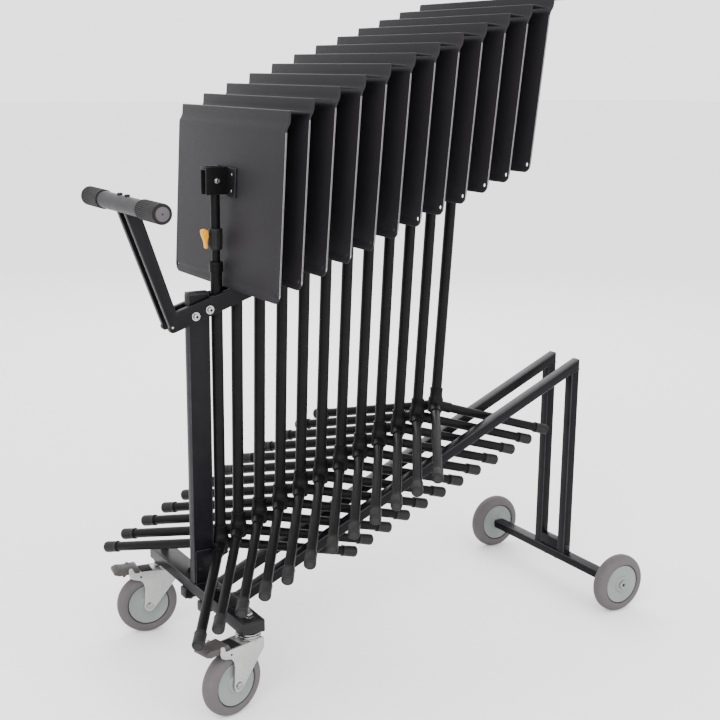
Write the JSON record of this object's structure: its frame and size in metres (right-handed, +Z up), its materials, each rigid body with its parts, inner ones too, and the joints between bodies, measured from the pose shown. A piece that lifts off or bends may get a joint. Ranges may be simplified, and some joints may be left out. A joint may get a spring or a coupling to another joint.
{
  "type": "stand storage trolley with nested music stands",
  "caption": "Wheeled storage trolley with a sloping rail frame, push handle and braked swivel casters, carrying a nested row of upright orchestra music stands.",
  "frame": {"origin": "middle of the footprint, on the floor", "axes": "+X along the trolley from the handle to the fixed wheels, +Y to the far side, +Z up"},
  "size_m": [1.0938, 0.5265, 1.276],
  "materials": {
    "trolley_paint": "semi-gloss black paint",
    "stand_paint": "satin black powder coat",
    "desk_powder": "fine-textured charcoal powder coat",
    "handle_grey": "satin grey paint",
    "grip_rubber": "ribbed matt rubber",
    "zinc_steel": "bright zinc plating",
    "grey_tyre": "matt grey tread on a pale hub",
    "grey_plastic": "matt moulded plastic",
    "lever_yellow": "glossy moulded plastic"
  },
  "bodies": {
    "trolley": {"crossbar_front": "trolley_paint", "rail_near": "trolley_paint", "rail_far": "trolley_paint", "upright_near": "trolley_paint", "upright_far": "trolley_paint", "axle_bar": "trolley_paint", "post": "trolley_paint", "post_bracket": "trolley_paint", "handle_arm_near": "trolley_paint", "handle_arm_far": "trolley_paint", "handle_tube": "handle_grey", "handle_grip_near": "grip_rubber", "handle_grip_far": "grip_rubber", "caster_near_stem": "zinc_steel", "caster_far_stem": "zinc_steel"},
    "wheel_rear_near": {"wheel_rear_near": "grey_tyre"},
    "caster_near_swivel": {"caster_near_fork": "zinc_steel"},
    "caster_near_wheel": {"caster_near_wheel": "grey_tyre"},
    "caster_near_pedal": {"caster_near_pedal": "grey_plastic"},
    "wheel_rear_far": {"wheel_rear_far": "grey_tyre"},
    "caster_far_swivel": {"caster_far_fork": "zinc_steel"},
    "caster_far_wheel": {"caster_far_wheel": "grey_tyre"},
    "caster_far_pedal": {"caster_far_pedal": "grey_plastic"},
    "stand_01_base": {"stand_01_base": "stand_paint"},
    "stand_01_desk": {"stand_01_desk": "desk_powder"},
    "stand_01_riser": {"stand_01_riser": "stand_paint"},
    "stand_02_base": {"stand_02_base": "stand_paint"},
    "stand_02_desk": {"stand_02_desk": "desk_powder"},
    "stand_02_riser": {"stand_02_riser": "stand_paint"},
    "stand_03_base": {"stand_03_base": "stand_paint"},
    "stand_03_desk": {"stand_03_desk": "desk_powder"},
    "stand_03_riser": {"stand_03_riser": "stand_paint"},
    "stand_04_base": {"stand_04_base": "stand_paint"},
    "stand_04_desk": {"stand_04_desk": "desk_powder"},
    "stand_04_riser": {"stand_04_riser": "stand_paint"},
    "stand_05_base": {"stand_05_base": "stand_paint"},
    "stand_05_desk": {"stand_05_desk": "desk_powder"},
    "stand_05_riser": {"stand_05_riser": "stand_paint"},
    "stand_06_base": {"stand_06_base": "stand_paint"},
    "stand_06_desk": {"stand_06_desk": "desk_powder"},
    "stand_06_riser": {"stand_06_riser": "stand_paint"},
    "stand_07_base": {"stand_07_base": "stand_paint"},
    "stand_07_desk": {"stand_07_desk": "desk_powder"},
    "stand_07_riser": {"stand_07_riser": "stand_paint"},
    "stand_08_base": {"stand_08_base": "stand_paint"},
    "stand_08_desk": {"stand_08_desk": "desk_powder"},
    "stand_08_riser": {"stand_08_riser": "stand_paint"},
    "stand_09_base": {"stand_09_base": "stand_paint"},
    "stand_09_desk": {"stand_09_desk": "desk_powder"},
    "stand_09_riser": {"stand_09_riser": "stand_paint"},
    "stand_10_base": {"stand_10_base": "stand_paint"},
    "stand_10_desk": {"stand_10_desk": "desk_powder"},
    "stand_10_riser": {"stand_10_riser": "stand_paint"},
    "stand_11_base": {"stand_11_base": "stand_paint"},
    "stand_11_desk": {"stand_11_desk": "desk_powder"},
    "stand_11_riser": {"stand_11_riser": "stand_paint"},
    "stand_12_base": {"stand_12_base": "stand_paint"},
    "stand_12_desk": {"stand_12_desk": "desk_powder"},
    "stand_12_riser": {"stand_12_riser": "stand_paint"},
    "stand_01_lever": {"stand_01_lever": "lever_yellow"}
  },
  "joints": [
    {"name": "wheel_rear_near_spin", "type": "hinge", "parent": "trolley", "child": "wheel_rear_near", "pos_m": [0.48435, -0.2184, 0.0625], "axis": [0, 1, 0], "continuous": true},
    {"name": "caster_near_swivel", "type": "hinge", "parent": "trolley", "child": "caster_near_swivel", "pos_m": [-0.39265, -0.192, 0.14], "axis": [0, 0, 1], "continuous": true},
    {"name": "caster_near_spin", "type": "hinge", "parent": "caster_near_swivel", "child": "caster_near_wheel", "pos_m": [-0.43146, -0.20168, 0.0625], "axis": [0.2419, -0.9703, 0], "continuous": true},
    {"name": "caster_near_brake", "type": "hinge", "parent": "caster_near_swivel", "child": "caster_near_pedal", "pos_m": [-0.46494, -0.21002, 0.1415], "axis": [0.2419, -0.9703, 0], "range_deg": [0, 8]},
    {"name": "wheel_rear_far_spin", "type": "hinge", "parent": "trolley", "child": "wheel_rear_far", "pos_m": [0.48435, 0.2184, 0.0625], "axis": [0, 1, 0], "continuous": true},
    {"name": "caster_far_swivel", "type": "hinge", "parent": "trolley", "child": "caster_far_swivel", "pos_m": [-0.39265, 0.192, 0.14], "axis": [0, 0, 1], "continuous": true},
    {"name": "caster_far_spin", "type": "hinge", "parent": "caster_far_swivel", "child": "caster_far_wheel", "pos_m": [-0.43226, 0.19757, 0.0625], "axis": [-0.1392, -0.9903, 0], "continuous": true},
    {"name": "caster_far_brake", "type": "hinge", "parent": "caster_far_swivel", "child": "caster_far_pedal", "pos_m": [-0.46642, 0.20237, 0.1415], "axis": [-0.1392, -0.9903, 0], "range_deg": [0, 8]},
    {"name": "stand_01_draw_off", "type": "slide", "parent": "trolley", "child": "stand_01_base", "axis": [0.9128, 0, 0.4083], "range_m": [0, 0.06]},
    {"name": "stand_01_height", "type": "slide", "parent": "stand_01_base", "child": "stand_01_riser", "axis": [0, 0, 1], "range_m": [0, 0.25]},
    {"name": "stand_01_tilt", "type": "hinge", "parent": "stand_01_riser", "child": "stand_01_desk", "pos_m": [-0.35515, 0, 0.941], "axis": [0, 1, 0], "range_deg": [-3, 0]},
    {"name": "stand_02_draw_off", "type": "slide", "parent": "stand_01_base", "child": "stand_02_base", "axis": [0.9128, 0, 0.4083], "range_m": [0, 0.06]},
    {"name": "stand_02_height", "type": "slide", "parent": "stand_02_base", "child": "stand_02_riser", "axis": [0.0058, 0, 1], "range_m": [0, 0.004]},
    {"name": "stand_02_tilt", "type": "hinge", "parent": "stand_02_riser", "child": "stand_02_desk", "pos_m": [-0.31265, 0, 0.96129], "axis": [0, 1, 0], "range_deg": [-0.5, 0.5]},
    {"name": "stand_03_draw_off", "type": "slide", "parent": "stand_02_base", "child": "stand_03_base", "axis": [0.9128, 0, 0.4083], "range_m": [0, 0.06]},
    {"name": "stand_03_height", "type": "slide", "parent": "stand_03_base", "child": "stand_03_riser", "axis": [0.0115, 0, 0.9999], "range_m": [0, 0.06]},
    {"name": "stand_03_tilt", "type": "hinge", "parent": "stand_03_riser", "child": "stand_03_desk", "pos_m": [-0.26303, 0, 0.98129], "axis": [0, 1, 0], "range_deg": [-0.5, 0.5]},
    {"name": "stand_04_draw_off", "type": "slide", "parent": "stand_03_base", "child": "stand_04_base", "axis": [0.9128, 0, 0.4083], "range_m": [0, 0.06]},
    {"name": "stand_04_height", "type": "slide", "parent": "stand_04_base", "child": "stand_04_riser", "axis": [0.0173, 0, 0.9999], "range_m": [0, 0.06]},
    {"name": "stand_04_tilt", "type": "hinge", "parent": "stand_04_riser", "child": "stand_04_desk", "pos_m": [-0.2133, 0, 1.00101], "axis": [0, 1, 0], "range_deg": [-0.5, 0.5]},
    {"name": "stand_05_draw_off", "type": "slide", "parent": "stand_04_base", "child": "stand_05_base", "axis": [0.9128, 0, 0.4083], "range_m": [0, 0.06]},
    {"name": "stand_05_height", "type": "slide", "parent": "stand_05_base", "child": "stand_05_riser", "axis": [0.023, 0, 0.9997], "range_m": [0, 0.06]},
    {"name": "stand_05_tilt", "type": "hinge", "parent": "stand_05_riser", "child": "stand_05_desk", "pos_m": [-0.16345, 0, 1.02044], "axis": [0, 1, 0], "range_deg": [-0.5, 0.5]},
    {"name": "stand_06_draw_off", "type": "slide", "parent": "stand_05_base", "child": "stand_06_base", "axis": [0.9128, 0, 0.4083], "range_m": [0, 0.06]},
    {"name": "stand_06_height", "type": "slide", "parent": "stand_06_base", "child": "stand_06_riser", "axis": [0.0288, 0, 0.9996], "range_m": [0, 0.06]},
    {"name": "stand_06_tilt", "type": "hinge", "parent": "stand_06_riser", "child": "stand_06_desk", "pos_m": [-0.11349, 0, 1.03958], "axis": [0, 1, 0], "range_deg": [-0.5, 0.5]},
    {"name": "stand_07_draw_off", "type": "slide", "parent": "stand_06_base", "child": "stand_07_base", "axis": [0.9128, 0, 0.4083], "range_m": [0, 0.06]},
    {"name": "stand_07_height", "type": "slide", "parent": "stand_07_base", "child": "stand_07_riser", "axis": [0.0346, 0, 0.9994], "range_m": [0, 0.06]},
    {"name": "stand_07_tilt", "type": "hinge", "parent": "stand_07_riser", "child": "stand_07_desk", "pos_m": [-0.06342, 0, 1.05844], "axis": [0, 1, 0], "range_deg": [-0.5, 0.5]},
    {"name": "stand_08_draw_off", "type": "slide", "parent": "stand_07_base", "child": "stand_08_base", "axis": [0.9128, 0, 0.4083], "range_m": [0, 0.06]},
    {"name": "stand_08_height", "type": "slide", "parent": "stand_08_base", "child": "stand_08_riser", "axis": [0.0403, 0, 0.9992], "range_m": [0, 0.06]},
    {"name": "stand_08_tilt", "type": "hinge", "parent": "stand_08_riser", "child": "stand_08_desk", "pos_m": [-0.01325, 0, 1.077], "axis": [0, 1, 0], "range_deg": [-0.5, 0.5]},
    {"name": "stand_09_draw_off", "type": "slide", "parent": "stand_08_base", "child": "stand_09_base", "axis": [0.9128, 0, 0.4083], "range_m": [0, 0.06]},
    {"name": "stand_09_height", "type": "slide", "parent": "stand_09_base", "child": "stand_09_riser", "axis": [0.0461, 0, 0.9989], "range_m": [0, 0.06]},
    {"name": "stand_09_tilt", "type": "hinge", "parent": "stand_09_riser", "child": "stand_09_desk", "pos_m": [0.03703, 0, 1.09528], "axis": [0, 1, 0], "range_deg": [-0.5, 0.5]},
    {"name": "stand_10_draw_off", "type": "slide", "parent": "stand_09_base", "child": "stand_10_base", "axis": [0.9128, 0, 0.4083], "range_m": [0, 0.06]},
    {"name": "stand_10_height", "type": "slide", "parent": "stand_10_base", "child": "stand_10_riser", "axis": [0.0518, 0, 0.9987], "range_m": [0, 0.06]},
    {"name": "stand_10_tilt", "type": "hinge", "parent": "stand_10_riser", "child": "stand_10_desk", "pos_m": [0.08741, 0, 1.11326], "axis": [0, 1, 0], "range_deg": [-0.5, 0.5]},
    {"name": "stand_11_draw_off", "type": "slide", "parent": "stand_10_base", "child": "stand_11_base", "axis": [0.9128, 0, 0.4083], "range_m": [0, 0.06]},
    {"name": "stand_11_height", "type": "slide", "parent": "stand_11_base", "child": "stand_11_riser", "axis": [0.0576, 0, 0.9983], "range_m": [0, 0.06]},
    {"name": "stand_11_tilt", "type": "hinge", "parent": "stand_11_riser", "child": "stand_11_desk", "pos_m": [0.1379, 0, 1.13096], "axis": [0, 1, 0], "range_deg": [-0.5, 0.5]},
    {"name": "stand_12_draw_off", "type": "slide", "parent": "stand_11_base", "child": "stand_12_base", "axis": [0.9128, 0, 0.4083], "range_m": [0, 0.06]},
    {"name": "stand_12_height", "type": "slide", "parent": "stand_12_base", "child": "stand_12_riser", "axis": [0.0633, 0, 0.998], "range_m": [0, 0.06]},
    {"name": "stand_12_tilt", "type": "hinge", "parent": "stand_12_riser", "child": "stand_12_desk", "pos_m": [0.18849, 0, 1.14837], "axis": [0, 1, 0], "range_deg": [-0.5, 0.5]},
    {"name": "stand_01_clutch_lever", "type": "hinge", "parent": "stand_01_riser", "child": "stand_01_lever", "pos_m": [-0.37215, 0, 0.848], "axis": [0, 1, 0], "range_deg": [0, 40]}
  ]
}
